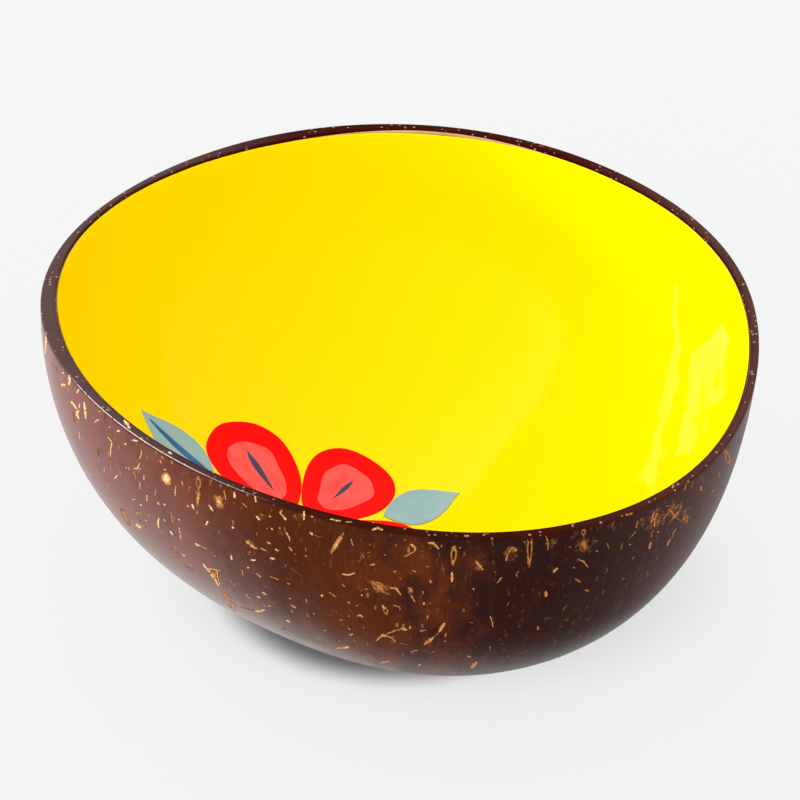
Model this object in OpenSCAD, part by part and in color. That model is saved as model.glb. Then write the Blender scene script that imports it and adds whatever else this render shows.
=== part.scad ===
// Bowl made from half a coconut: the natural shell is cut level, polished outside and
// ground flat under its round end. Inside it has a pale ground coat, a thick yellow
// lacquer, and a five-petal blossom with leaves painted on its floor.
// Lengths are in millimetres. Z is up and the foot stands on z = 0. The bowl's box is
// centred on the Z axis, and turns are counted counter-clockwise from +X, seen from above.

/* [Shell] */
// Mean radius of the shell at its widest level
shell_r = 65; // [50:0.5:80]
// Height from the foot to the rim
bowl_h = 57; // [45:0.2:70]
// Depth of the round end that is ground away to make the foot
foot_cut = 1.4; // [0.6:0.1:2]
// Depth of the widest level under the rim
widest_drop = 3.4; // [2:0.2:8]
// Fullness of the side: 2 is an ellipse, and more is squarer
fullness_share = 2.04; // [1.9:0.02:2.4]

/* [Rim outline] */
// How far the rim's oval reaches past the mean radius
rim_oval = 4; // [0:0.1:6]
// Turn of the oval's long way
rim_oval_turn = -56; // [-90:1:90]
// How far the nut's three soft ridges stand out at the rim
rim_ridge = 1.7; // [0:0.1:3]
// Turn of the first ridge at the rim
rim_ridge_turn = 54; // [0:1:120]
// How far four slight corners stand out at the rim
rim_corner = 0.4; // [0:0.1:1]
// Turn of the first corner at the rim
rim_corner_turn = 20; // [0:1:90]
// How far five slight waves stand out at the rim
rim_wave = 0.4; // [0:0.1:1]
// Turn of the first wave at the rim
rim_wave_turn = 15; // [0:1:72]

/* [Base outline] */
// How far the round end's oval reaches past the mean radius
base_oval = 7.6; // [0:0.1:10]
// Turn of that oval's long way
base_oval_turn = -80; // [-90:1:90]
// How far the three ridges stand out towards the round end
base_ridge = 5.6; // [0:0.1:7]
// Turn of the first ridge towards the round end
base_ridge_turn = -52; // [-60:1:60]
// How far the round end lies to the right of the rim's middle
base_shift_x = -3.2; // [-6:0.1:6]
// How far the round end lies behind the rim's middle
base_shift_y = 0.6; // [-6:0.1:6]

/* [Wall] */
// Mean thickness of the wall at the rim
rim_wall = 1.8; // [1.6:0.05:4]
// How much thicker the wall is on the rim's heavy side
heavy_side = 0.2; // [0:0.05:0.6]
// Turn of the heavy side
heavy_side_turn = 132; // [0:1:360]
// How much thicker the wall is along the three ridges
ridge_wall = 0.2; // [0:0.05:0.4]
// How much thicker the wall is at two swellings of the rim, and thinner between them
wall_swell = 0.75; // [0:0.05:0.8]
// Turn of the first swelling
swell_turn = 112; // [0:1:360]
// Turn from one swelling to the other
swell_apart = 70; // [50:1:120]
// Thickness of the shell at its round end, before the foot is ground
base_wall = 4; // [3:0.1:6]
// Radius of the rim's outer edge
rim_outer_r = 0.4; // [0.3:0.05:1.5]
// Radius of the rim's inner edge
rim_inner_r = 0.2; // [0.1:0.05:0.6]

/* [Coats] */
// Plain shell between the rim's inner edge and the ground coat
coat_drop = 0.05; // [0.05:0.05:1]
// Thickness of the ground coat
ground_t = 0.15; // [0.1:0.05:0.4]
// Ground coat that shows above the lacquer
ground_show = 0.15; // [0.1:0.05:1]
// Thickness of the yellow lacquer
lacquer_t = 0.3; // [0.15:0.05:0.8]
// Thickness of one coat of the painted blossom
paint_t = 0.1; // [0.08:0.01:0.2]

/* [Blossom] */
// Blossom's middle to the right of the bowl's middle
blossom_x = -18; // [-20:1:20]
// Blossom's middle behind the bowl's middle
blossom_y = 8; // [-20:1:20]
// Turn of the first petal
blossom_turn = 54; // [0:1:72]
// Radius of the blossom's dark middle
eye_r = 2.2; // [1:0.1:3]
// Bare lacquer between one painted shape and the next
paint_gap = 0.9; // [0.4:0.1:1.5]
// Length of a petal
petal_l = 20; // [14:0.5:22]
// Width of a petal
petal_w = 16; // [8:0.5:17]
// How much narrower a petal is at its foot than at its tip
petal_taper_share = 0.35; // [0:0.05:0.4]
// Red left showing round the blush on a petal
blush_rim = 3; // [2:0.1:3.5]
// Width of the dark stroke on a petal
stroke_w = 1; // [0.6:0.1:1.4]

/* [Leaves] */
// Distance from the blossom's middle to a leaf's foot
leaf_foot = 16.4; // [15:0.2:19]
// Length of a leaf
leaf_l = 14.6; // [10:0.2:16]
// Width of a leaf
leaf_w = 9.4; // [6:0.2:11]
// Width of the vein down a leaf
vein_w = 1.1; // [0.6:0.1:1.5]

/* [Hidden] */
// Points round each ring, rings down each skin, and steps round each rim edge
sectors = 64;
rings = 16;
outer_steps = 3;
inner_steps = 2;
// Points round a petal and along each side of a leaf
petal_points = 40;
leaf_points = 14;
petals = 5;
// Turns of the leaves from the first petal, each halfway between two petals
leaf_turns = [for (gap = [2:2:6]) 360 * (gap + 0.5) / petals];
// Part of a petal's length that its dark stroke takes
stroke_share = 0.42;
// How quickly a swelling of the wall dies away round the rim
swell_sharpness = 24;

// Depth of the whole half nut, from the rim to its round end
nut_depth = bowl_h + foot_cut;
side_depth = nut_depth - widest_drop;
// The rim's edges take at most these shares of the thinnest wall there
thinnest_wall = rim_wall - heavy_side - ridge_wall - wall_swell;
outer_r = min(rim_outer_r, thinnest_wall * 0.6);
inner_r = min(rim_inner_r, thinnest_wall * 0.25);
// Depths at which the two coats begin
ground_top = inner_r + coat_drop;
lacquer_top = ground_top + ground_show;
// First ring of the floor that takes paint
paint_ring = floor(rings * 0.4);
blossom_at = [blossom_x, blossom_y];
petal_foot = eye_r + paint_gap;

turns = [for (i = [0:sectors - 1]) 360 * i / sectors];

function lobe(size, count, turn, t) = size * cos(count * (t - turn));
function mix(a, b, share) = a + (b - a) * share;
// 1 at its own turn, and next to nothing thirty degrees away
function swelling(turn, t) = pow(max(0, cos(t - turn)), swell_sharpness);

// How much thicker the rim is at turn t for its two swellings and the thin stretch between them
function swell_reach(t) = wall_swell * (swelling(swell_turn, t)
    - swelling(swell_turn + swell_apart / 2, t) + swelling(swell_turn + swell_apart, t));

// How far the outline reaches past the mean radius at turn t: half of a swelling is outside
function rim_reach(t) = lobe(rim_oval, 2, rim_oval_turn, t)
    + lobe(rim_ridge, 3, rim_ridge_turn, t)
    + lobe(rim_corner, 4, rim_corner_turn, t)
    + lobe(rim_wave, 5, rim_wave_turn, t)
    + swell_reach(t) / 2;
function base_reach(t) = lobe(base_oval, 2, base_oval_turn, t)
    + lobe(base_ridge, 3, base_ridge_turn, t);

// Share of its widest radius that the side has at depth d under the rim
function side_share(d) =
    pow(1 - pow(abs(d - widest_drop) / side_depth, fullness_share), 1 / fullness_share);

// Way out of the side at depth d, as [level, downwards]: level above the widest ring
function way_out(d) =
    let (down = max(d - widest_drop, 0) / side_depth,
         level_slope = pow(side_share(d), fullness_share - 1) / shell_r,
         down_slope = pow(down, fullness_share - 1) / side_depth)
    [level_slope, down_slope] / norm([level_slope, down_slope]);

// Thickness of the shell at turn t and depth d
function wall(t, d) =
    mix(rim_wall + lobe(heavy_side, 1, heavy_side_turn, t) + lobe(ridge_wall, 3, rim_ridge_turn, t)
        + swell_reach(t), base_wall, d / nut_depth);

// Point at turn t and depth d, this far inside the shell's outer face
function raw_point(t, d, inside) =
    let (share = d / nut_depth,
         out = way_out(d),
         r = side_share(d) * (shell_r + mix(rim_reach(t), base_reach(t), share)) - inside * out[0])
    [base_shift_x * share + r * cos(t), base_shift_y * share + r * sin(t),
     bowl_h - d + inside * out[1]];

// Depths of the rings below the rim, close together where the side turns under
depths = [for (i = [1:rings - 1]) nut_depth * sin(90 * i / rings)];

// The box of the widest rings, which is centred on the Z axis
widest = [for (d = concat([outer_r], depths), t = turns) raw_point(t, d, 0)];
middle = [for (axis = [0, 1]) (min([for (p = widest) p[axis]]) + max([for (p = widest) p[axis]])) / 2];

function point(t, d, inside) = raw_point(t, d, inside) - [middle[0], middle[1], 0];
function outer_ring(d) = [for (t = turns) point(t, d, 0)];
function inner_ring(d, coat) = [for (t = turns) point(t, d, wall(t, d) + coat)];
// Ring on the rim: inside counts from the outer face, and up from the rim's level
function rim_ring(d, inside_outer, inside_inner, up) =
    [for (t = turns) point(t, d, inside_outer + wall(t, d) * inside_inner) + [0, 0, d + up]];

// Faces of one skin whose rings run down to its lowest point
function skin_faces(first, count, outside) =
    let (pole = first + count * sectors,
         found = concat(
             [for (i = [0:count - 2], j = [0:sectors - 1])
                 let (a = first + i * sectors + j, b = first + i * sectors + (j + 1) % sectors)
                 each [[a, b, b + sectors], [a, b + sectors, a + sectors]]],
             [for (j = [0:sectors - 1])
                 [pole - sectors + j, pole - sectors + (j + 1) % sectors, pole]]))
    outside ? found : [for (f = found) [f[2], f[1], f[0]]];

// Closed solid between two skins, each a list of rings from the top down and a lowest point
module between_skins(outer, outer_low, inner, inner_low) {
    second = len(outer) * sectors + 1;
    edge = [for (j = [0:sectors - 1])
        let (k = (j + 1) % sectors)
        each [[second + j, second + k, k], [second + j, k, j]]];
    polyhedron(
        points = concat([for (r = outer) each r], [outer_low], [for (r = inner) each r], [inner_low]),
        faces = concat(skin_faces(0, len(outer), true), skin_faces(second, len(inner), false), edge));
}

// Skin that lies this far inside the shell's inner face, from the given top down
function coat_skin(tops, coat) = [for (d = concat(tops, depths)) inner_ring(d, coat)];
function coat_low(coat) = point(0, nut_depth, base_wall + coat);

// One coat over the whole inside: its outer skin starts at tops, its inner skin too
module coat(tops, under, thickness) {
    between_skins(coat_skin(tops, under), coat_low(under),
        coat_skin(tops, under + thickness), coat_low(under + thickness));
}

module coconut_shell() {
    outer_edge = [for (i = [outer_steps:-1:1])
        let (a = 90 * i / outer_steps)
        rim_ring(outer_r, outer_r * (1 - cos(a)), 0, outer_r * (sin(a) - 1))];
    inner_edge = [for (i = [inner_steps:-1:1])
        let (a = 90 * i / inner_steps)
        rim_ring(inner_r, -inner_r * (1 - cos(a)), 1, inner_r * (sin(a) - 1))];
    color("#4a2820")
        difference() {
            between_skins(
                concat(outer_edge, [outer_ring(outer_r)], [for (d = depths) outer_ring(d)]),
                point(0, nut_depth, 0),
                concat(inner_edge, [inner_ring(inner_r, 0)], coat_skin([ground_top, lacquer_top], 0)),
                coat_low(0));
            translate([-shell_r, -shell_r, -2 * foot_cut])
                cube([2 * shell_r, 2 * shell_r, 2 * foot_cut]);
        }
}

module ground_coat() {
    color("#d8bf94")
        coat([ground_top, lacquer_top], 0, ground_t);
}

module yellow_lacquer() {
    color("#ffe400")
        coat([lacquer_top], ground_t, lacquer_t);
}

// Coat of paint on the floor: the first lies on the lacquer, and the next on the one before
module paint(order) {
    under = ground_t + lacquer_t + (order - 1) * paint_t;
    floor_skin = [for (i = [paint_ring:rings - 2]) inner_ring(depths[i], under)];
    next_skin = [for (i = [paint_ring:rings - 2]) inner_ring(depths[i], under + paint_t)];
    intersection() {
        between_skins(floor_skin, coat_low(under), next_skin, coat_low(under + paint_t));
        linear_extrude(height = bowl_h)
            translate(blossom_at)
                children();
    }
}

// One petal that starts this far from the blossom's middle, drawn along +X
module petal_shape(start, l, w) {
    translate([start, 0])
        polygon([for (i = [0:petal_points - 1])
            let (a = 360 * i / petal_points)
            [l * (1 - cos(a)) / 2, w * sin(a) * (1 - petal_taper_share * cos(a)) / 2]]);
}

// One leaf or stroke along +X, pointed at both ends
module leaf_shape(l, w) {
    side = [for (i = [0:leaf_points]) [l * i / leaf_points, w * sin(180 * i / leaf_points) / 2]];
    polygon(concat(side, [for (i = [leaf_points - 1:-1:1]) [side[i][0], -side[i][1]]]));
}

module each_petal() {
    for (i = [0:petals - 1])
        rotate(blossom_turn + 360 * i / petals)
            children();
}

module each_leaf() {
    for (turn = leaf_turns)
        rotate(blossom_turn + turn)
            children();
}

module petals_with_gap() {
    each_petal()
        petal_shape(petal_foot - paint_gap, petal_l + 2 * paint_gap, petal_w + 2 * paint_gap);
}

module red_petals() {
    color("#ff0a05")
        paint(1)
            each_petal()
                petal_shape(petal_foot, petal_l, petal_w);
}

module coral_blush() {
    color("#ff5a5a")
        paint(2)
            each_petal()
                petal_shape(petal_foot + blush_rim, petal_l - 2 * blush_rim, petal_w - 2 * blush_rim);
}

module navy_strokes() {
    stroke_l = petal_l * stroke_share;
    color("#3a3a6a") {
        paint(1)
            circle(r = eye_r, $fn = 48);
        paint(3)
            each_petal()
                translate([petal_foot + (petal_l - stroke_l) / 2, 0])
                    leaf_shape(stroke_l, stroke_w);
    }
}

module grey_blue_leaves() {
    color("#92b8c0")
        paint(1)
            difference() {
                each_leaf()
                    translate([leaf_foot, 0])
                        leaf_shape(leaf_l, leaf_w);
                petals_with_gap();
            }
}

module blue_leaf_veins() {
    // A vein keeps its own width clear of both ends of the leaf
    color("#1060b0")
        paint(2)
            each_leaf()
                translate([leaf_foot + vein_w, 0])
                    leaf_shape(leaf_l - 2 * vein_w, vein_w);
}

coconut_shell();
ground_coat();
yellow_lacquer();
red_petals();
coral_blush();
navy_strokes();
grey_blue_leaves();
blue_leaf_veins();
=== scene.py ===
# %% [markdown]
# # A bowl from half a coconut shell
#
# The real bowl is one natural half shell. It is cut level, ground flat under its round end,
# polished outside, and coated inside: a pale ground, a thick yellow lacquer and a painted
# blossom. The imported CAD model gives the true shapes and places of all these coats. This
# lesson dresses that model. It smooths copies of the shell and the coats, paints the blossom
# by hand on the lacquer, sets fibre flecks in the polished skin, and makes the finishes.
#
# Lengths are in metres, and `MM` turns the millimetres that a maker thinks in into metres.

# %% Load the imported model
import math
import random

import bpy
from mathutils import Matrix, Vector, noise
from mathutils.bvhtree import BVHTree


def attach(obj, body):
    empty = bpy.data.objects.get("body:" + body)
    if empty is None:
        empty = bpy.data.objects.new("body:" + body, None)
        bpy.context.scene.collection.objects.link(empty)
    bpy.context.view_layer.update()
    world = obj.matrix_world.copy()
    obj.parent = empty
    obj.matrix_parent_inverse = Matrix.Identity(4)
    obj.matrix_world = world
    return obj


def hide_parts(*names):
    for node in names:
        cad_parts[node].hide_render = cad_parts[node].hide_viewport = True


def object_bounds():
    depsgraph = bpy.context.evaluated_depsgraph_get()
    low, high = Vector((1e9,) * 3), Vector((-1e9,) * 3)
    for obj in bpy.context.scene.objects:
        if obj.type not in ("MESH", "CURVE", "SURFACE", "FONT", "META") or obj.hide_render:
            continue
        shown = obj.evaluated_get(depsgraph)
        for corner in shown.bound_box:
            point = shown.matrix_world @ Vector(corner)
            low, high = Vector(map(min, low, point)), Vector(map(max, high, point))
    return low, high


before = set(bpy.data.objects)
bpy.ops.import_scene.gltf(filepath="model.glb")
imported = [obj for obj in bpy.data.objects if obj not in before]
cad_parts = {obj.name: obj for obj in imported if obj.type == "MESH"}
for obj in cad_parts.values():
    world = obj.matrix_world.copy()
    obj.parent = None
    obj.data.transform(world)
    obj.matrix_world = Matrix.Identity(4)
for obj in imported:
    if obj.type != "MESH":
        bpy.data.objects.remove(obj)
cad_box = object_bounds()
MM = 0.001
print("bowl", [round((high - low) / MM, 1) for low, high in zip(*cad_box)], "mm")

# %% [markdown]
# ## The camera
#
# The photograph was taken from some way off with a long lens, a third of the way up from the
# table. The angle and the lens were found by laying the shell's outline over the photograph,
# so the camera comes first, and everything else can be judged through it.

# %% Add the camera
ELEVATION = math.radians(34.15)
AIM = Vector((0.00049, -0.00002, 0.03883))
DISTANCE = 0.8
SENSOR = 36
PICTURE = 800

toward_camera = Vector((0, -math.cos(ELEVATION), math.sin(ELEVATION)))
bpy.ops.object.camera_add(location=AIM + toward_camera * DISTANCE,
                          rotation=(math.pi / 2 - ELEVATION, 0, 0))
camera = bpy.context.object
camera.data.lens = 200.31
camera.data.sensor_width = SENSOR
bpy.context.scene.camera = camera
print("camera", [round(value, 3) for value in camera.location])

# %% [markdown]
# ## Smooth copies of the shell and its coats
#
# A CAD node is loose triangles on straight facets. It could be shown as it is, but polish and
# gloss would show every facet. So each large piece is a copy: its corners are merged, its
# triangles are paired into quads, and Subdivision Surface rounds it. A fan of triangles that
# meets in one point would pinch the gloss there, so each fan gives way to a small grid first.

# %% Copy a node and pair its triangles
def only(piece):
    """Leaves this piece alone selected and active, as a click on it does."""
    bpy.ops.object.select_all(action='DESELECT')
    piece.select_set(True)
    bpy.context.view_layer.objects.active = piece


def edit_all(piece):
    """Opens a piece in Edit Mode with all of it selected."""
    only(piece)
    bpy.ops.object.mode_set(mode='EDIT')
    bpy.ops.mesh.select_all(action='SELECT')


def join(pieces, name):
    """Joins pieces into one of this name."""
    only(pieces[0])
    for piece in pieces:
        piece.select_set(True)
    bpy.ops.object.join()
    joined = bpy.context.object
    joined.name = joined.data.name = name
    return joined


def face_outwards(piece):
    """Turns the faces of a piece so that they all look outwards."""
    edit_all(piece)
    bpy.ops.mesh.normals_make_consistent(inside=False)
    bpy.ops.object.mode_set(mode='OBJECT')


def thicken(piece, thickness):
    """Gives a sheet an underside with Solidify, applied."""
    thick = piece.modifiers.new("thick", 'SOLIDIFY')
    thick.thickness = thickness
    thick.offset = -1
    only(piece)
    bpy.ops.object.modifier_apply(modifier=thick.name)


def quad_copy(node, name):
    """A copy of a CAD node with its corners merged and its triangles paired."""
    piece = bpy.data.objects.new(name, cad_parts[node].data.copy())
    piece.data.name = name
    piece.data.materials.clear()
    bpy.context.collection.objects.link(piece)
    edit_all(piece)
    bpy.ops.mesh.remove_doubles(threshold=0.001 * MM)
    bpy.ops.mesh.tris_convert_to_quads(topology_influence=1.5)
    bpy.ops.object.mode_set(mode='OBJECT')
    return piece


shell = quad_copy("coconut_shell", "polished_coconut_shell")
ground = quad_copy("ground_coat", "tan_ground_coat")
lacquer = quad_copy("yellow_lacquer", "thick_yellow_lacquer")
for piece in (shell, ground, lacquer):
    print(piece.name, len(piece.data.polygons), "faces")

# %% Replace each fan of triangles by a grid
def fan_centres(piece):
    """Points where more than twenty edges meet."""
    meeting = [0] * len(piece.data.vertices)
    for edge in piece.data.edges:
        for index in edge.vertices:
            meeting[index] += 1
    return [piece.data.vertices[i].co.copy() for i, count in enumerate(meeting) if count > 20]


def select_corners(piece, wanted):
    """Selects the vertices whose place passes the test, and nothing else."""
    bpy.ops.object.mode_set(mode='EDIT')
    bpy.ops.mesh.select_mode(type='VERT')
    bpy.ops.mesh.select_all(action='DESELECT')
    bpy.ops.object.mode_set(mode='OBJECT')
    for vertex in piece.data.vertices:
        vertex.select = wanted(vertex.co)
    bpy.ops.object.mode_set(mode='EDIT')


def fill_fan(piece, centre):
    """Cuts out the fan round this point and fills the hole with a grid that keeps its dip."""
    only(piece)
    bpy.ops.object.mode_set(mode='OBJECT')
    up = max(piece.data.polygons, key=lambda f: -(f.center - centre).length).normal.z > 0
    select_corners(piece, lambda place: (place - centre).length < 0.01 * MM)
    bpy.ops.mesh.delete(type='VERT')
    bpy.ops.mesh.select_non_manifold(extend=False)
    bpy.ops.object.mode_set(mode='OBJECT')
    ring = {}
    for vertex in piece.data.vertices:
        if vertex.select:
            out = vertex.co - centre
            ring[vertex.index] = (math.atan2(out.y, out.x), out.xy.length, out.z)
    bpy.ops.object.mode_set(mode='EDIT')
    bpy.ops.mesh.fill_grid(span=len(ring) // 4)
    bpy.ops.object.mode_set(mode='OBJECT')
    for vertex in piece.data.vertices:
        if vertex.select and vertex.index not in ring:
            out = vertex.co - centre
            turn = math.atan2(out.y, out.x)
            near = min(ring.values(), key=lambda at: abs(math.remainder(at[0] - turn, math.tau)))
            vertex.co.z = centre.z + near[2] * (out.xy.length / near[1]) ** 2
    filled = [face for face in piece.data.polygons if face.select]
    if (filled[0].normal.z > 0) != up:
        bpy.ops.object.mode_set(mode='EDIT')
        bpy.ops.mesh.flip_normals()
    bpy.ops.object.mode_set(mode='OBJECT')


for piece in (shell, ground, lacquer):
    for centre in fan_centres(piece):
        fill_fan(piece, centre)
    print(piece.name, "fans left:", len(fan_centres(piece)))

# %% [markdown]
# ## The ground foot
#
# The round end is ground flat on a belt sander, which leaves a crisp edge all round the flat.
# The flat's triangles are dissolved into one face, and a crease on its edge keeps the smoothing
# from pulling it up off the table. The cut at the top is ground 0.03 mm lower than the bowl's
# height, which leaves room for the fibres that stand on it.

# %% Tidy the foot and smooth the three pieces
ROOM_FOR_FIBRES = 0.03 * MM
only(shell)
select_corners(shell, lambda place: place.z < 0.01 * MM)
bpy.ops.mesh.dissolve_limited(angle_limit=math.radians(1))
bpy.ops.mesh.select_mode(type='EDGE')
bpy.ops.mesh.region_to_loop()
bpy.ops.transform.edge_crease(value=0.8)
bpy.ops.object.mode_set(mode='OBJECT')


def smooth(piece):
    """Rounds a piece with two levels of Subdivision Surface, applied."""
    only(piece)
    rounded = piece.modifiers.new("rounded", 'SUBSURF')
    rounded.levels = rounded.render_levels = 2
    bpy.ops.object.modifier_apply(modifier=rounded.name)
    bpy.ops.object.shade_smooth()


for piece in (shell, ground, lacquer):
    smooth(piece)
    print(piece.name, len(piece.data.polygons), "faces")
top = cad_box[1][2]
for vertex in shell.data.vertices:
    vertex.co.z = min(vertex.co.z, top - ROOM_FOR_FIBRES)

# %% [markdown]
# ## A hand-laid upper edge
#
# A brush never follows a rim exactly. The yellow wanders by a tenth of a millimetre or two, and
# at the back it stops lower. The ground stops half a millimetre lower all round but at the back,
# so a thin pale line of it shows there. The wall is nearly upright, so an edge can simply be
# moved up and down.

# %% Let the upper edges wander
def wander(piece, lift, dip, shake, seed):
    """Lifts the upper edge of a coat, dips it at the back and lets it shake."""
    edge = max(vertex.co.z for vertex in piece.data.vertices)
    for vertex in piece.data.vertices:
        near_top = max(0, 1 - (edge - vertex.co.z) / (4 * MM))
        if near_top:
            out = vertex.co.xy.normalized()
            at_back = max(0, out.dot(Vector((0.12, 0.99)))) ** 22
            waves = noise.noise(Vector((out.x * 6, out.y * 6, seed)))
            waves += 0.5 * noise.noise(Vector((out.x * 25, out.y * 25, seed)))
            vertex.co.z += (lift - dip * at_back + shake * waves) * near_top ** 2


wander(lacquer, 0.10 * MM, 0.42 * MM, 0.10 * MM, 4)
wander(ground, -0.52 * MM, -0.52 * MM, 0.04 * MM, 9)
print("lacquer's top", round(max(v.co.z for v in lacquer.data.vertices) / MM, 2), "mm")

# %% [markdown]
# ## The painted blossom
#
# Each dab of paint is a thin cushion: full in the middle and thin at its edge, with an outline
# that shakes a little, as a hand does. A grid is bent into the dab's outline, dropped on the
# lacquer by a ray from above, and Solidify gives it an underside that sinks into the lacquer.
# All dabs of one colour are joined into one piece, which stands for that colour's CAD node.
# One fault is left. A dab is an open sheet, and Blender picks its outer side by itself, so a
# few dabs thicken upwards, and two navy strokes and one vein are buried in the paint below.

# %% Shape one dab of paint
BLOSSOM = Vector((-18 * MM, 8 * MM))
FIRST_PETAL = 54
lacquer_surface = BVHTree.FromObject(lacquer, bpy.context.evaluated_depsgraph_get())


def round_side(turn, length, width, taper):
    """Outline of a petal along +X: blunt at both ends, and wider towards its tip."""
    along = length * (1 - math.cos(turn)) / 2
    return Vector((along, width * math.sin(turn) * (1 - taper * math.cos(turn)) / 2))


def pointed_side(turn, length, width, taper):
    """Outline of a leaf or a brush stroke along +X: pointed at both ends."""
    share = (1 - math.cos(turn)) / 2
    lean = share ** (1 + taper)
    side = math.copysign(math.sin(math.pi * lean), math.sin(turn))
    return Vector((length * share, width * side / 2))


def dab(outline, length, width, start, turn, height, taper=0.0, shake=0.04, cells=14):
    """One dab of paint that begins this far from the blossom's middle."""
    bpy.ops.mesh.primitive_grid_add(x_subdivisions=cells, y_subdivisions=cells, size=2)
    piece = bpy.context.object
    seed = random.random() * 50
    middle = Vector((length / 2, 0))
    onto_bowl = Matrix.Rotation(math.radians(turn), 2)
    for vertex in piece.data.vertices:
        u, v = vertex.co.x, vertex.co.y
        disc = Vector((u * math.sqrt(1 - v * v / 2), v * math.sqrt(1 - u * u / 2)))
        reach, way = disc.length, math.atan2(disc.y, disc.x)
        edge = outline(math.pi - way, length, width, taper)
        shaken = 1 + shake * noise.noise(Vector((math.cos(way) * 1.6, math.sin(way) * 1.6, seed)))
        flat = Vector((start, 0)) + middle + (edge - middle) * reach * shaken
        flat = BLOSSOM + onto_bowl @ flat
        place, normal, _, _ = lacquer_surface.ray_cast(Vector((*flat, 55 * MM)), Vector((0, 0, -1)))
        vertex.co = place + normal * height * (1 - 0.8 * reach ** 6)
    piece.data.update()
    return piece


# %% Join the dabs of one colour
def paint_piece(name, dabs, node):
    """Joins the dabs of one colour and gives them an underside."""
    piece = join(dabs, name)
    face_outwards(piece)
    if piece.data.polygons[0].normal.z < 0:
        bpy.ops.object.mode_set(mode='EDIT')
        bpy.ops.mesh.flip_normals()
        bpy.ops.object.mode_set(mode='OBJECT')
    thicken(piece, 0.2 * MM)
    bpy.ops.object.shade_smooth_by_angle(angle=math.radians(60))
    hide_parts(node)
    print(name, len(piece.data.polygons), "faces")
    return piece


# %% Paint the petals, their blush and the dark strokes
random.seed(3)
petal_turns = [FIRST_PETAL + 72 * i for i in range(5)]
red = paint_piece("red_petal_paint", [
    dab(round_side, 20 * MM, 16 * MM, 3.1 * MM, turn, 0.1 * MM, taper=0.35)
    for turn in petal_turns], "red_petals")
coral = paint_piece("coral_blush_paint", [
    dab(round_side, 14 * MM, 10 * MM, 6.1 * MM, turn, 0.19 * MM, taper=0.35, shake=0.12)
    for turn in petal_turns], "coral_blush")
navy = paint_piece("navy_stroke_paint", [
    dab(round_side, 4.4 * MM, 4.4 * MM, -2.2 * MM, FIRST_PETAL, 0.1 * MM, shake=0.1)] + [
    dab(pointed_side, 8.4 * MM, 1.1 * MM, 8.9 * MM, turn, 0.28 * MM, taper=0.4, cells=10)
    for turn in petal_turns], "navy_strokes")

# %% Paint the leaves and their veins
leaf_turns = [FIRST_PETAL + 36 + 72 * gap for gap in (2, 4, 6)]
leaves = paint_piece("grey_blue_leaf_paint", [
    dab(pointed_side, 14.6 * MM, 9.4 * MM, 16.4 * MM, turn, 0.1 * MM, taper=-0.15)
    for turn in leaf_turns], "grey_blue_leaves")
veins = paint_piece("blue_vein_paint", [
    dab(pointed_side, 12 * MM, 1.1 * MM, 17.4 * MM, turn, 0.19 * MM, taper=-0.2, cells=10)
    for turn in leaf_turns], "blue_leaf_veins")

# %% [markdown]
# ## Fibre flecks
#
# The nut's husk is tied to its shell by fibres, and sanding cuts through the ones that lie in
# it. Each shows as a pale fleck: a tapered streak, a hollow loop where the fibre was a tube, or
# a broad chip. They could all be a pattern, but the large ones give this bowl its face, so
# they are laid where the photograph shows them. Three flat patterns are modelled once, and
# each copy is bent along its own path and pressed onto the shell.

# %% Model the three patterns
bpy.ops.mesh.primitive_grid_add(x_subdivisions=8, y_subdivisions=2, size=2)
streak = bpy.context.object
bpy.ops.mesh.primitive_circle_add(vertices=16, radius=1)
loop = bpy.context.object
edit_all(loop)
bpy.ops.mesh.extrude_edges_move()
bpy.ops.transform.resize(value=(0.5, 0.5, 1), center_override=(0, 0, 0))
bpy.ops.object.mode_set(mode='OBJECT')
bpy.ops.mesh.primitive_circle_add(vertices=16, radius=1, fill_type='TRIFAN')
chip = bpy.context.object
print("faces", [len(pattern.data.polygons) for pattern in (streak, loop, chip)])

# %% Find the shell behind a pixel
PIXEL = DISTANCE * SENSOR / PICTURE / camera.data.lens
shell_surface = BVHTree.FromObject(shell, bpy.context.evaluated_depsgraph_get())


def behind_pixel(x, y):
    """Place and normal of the shell at this pixel of the picture, or None."""
    picture_up = Vector((0, math.sin(ELEVATION), math.cos(ELEVATION)))
    half = PICTURE / 2
    aimed = AIM + Vector((x - half, 0, 0)) * PIXEL + picture_up * (half - y) * PIXEL
    return shell_surface.ray_cast(camera.location, aimed - camera.location)[:2]


print("pixel", round(PIXEL / MM, 3), "mm, front of the shell", behind_pixel(400, 600)[0])

# %% Lay one copy of a pattern on the shell
FLECK_HEIGHT = 0.02 * MM
FLECK_DEPTH = 0.07 * MM
flecks = []


def lay(pattern, tone, to_shell):
    """Copies a pattern, sends each corner to the shell and keeps its paleness and its core."""
    copy = pattern.copy()
    copy.data = pattern.data.copy()
    bpy.context.collection.objects.link(copy)
    core = copy.data.attributes.new("core", 'FLOAT', 'POINT')
    outwards = Vector()
    for vertex in copy.data.vertices:
        along, across = vertex.co.xy
        narrowed = abs(across) * (1 - 0.3 * along ** 4)
        from_core = narrowed if pattern is streak else math.hypot(along, across)
        core.data[vertex.index].value = 1 - from_core
        place, normal = to_shell(along, across)
        if place is None:
            bpy.data.objects.remove(copy)
            return
        vertex.co = place + normal * FLECK_HEIGHT
        outwards += normal
    copy.data.update()
    if sum((face.normal for face in copy.data.polygons), Vector()).dot(outwards) < 0:
        copy.data.flip_normals()
    pale = copy.data.attributes.new("tone", 'FLOAT', 'FACE')
    for face in pale.data:
        face.value = tone
    flecks.append(copy)


def along_path(points, share):
    """The point at this share of a path of pixels."""
    steps = [(b - a).length for a, b in zip(points, points[1:])]
    left = share * sum(steps)
    for a, b, step in zip(points, points[1:], steps):
        if left <= step:
            break
        left -= step
    return a + (b - a) * min(left / step, 1), (b - a).normalized()


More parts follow.
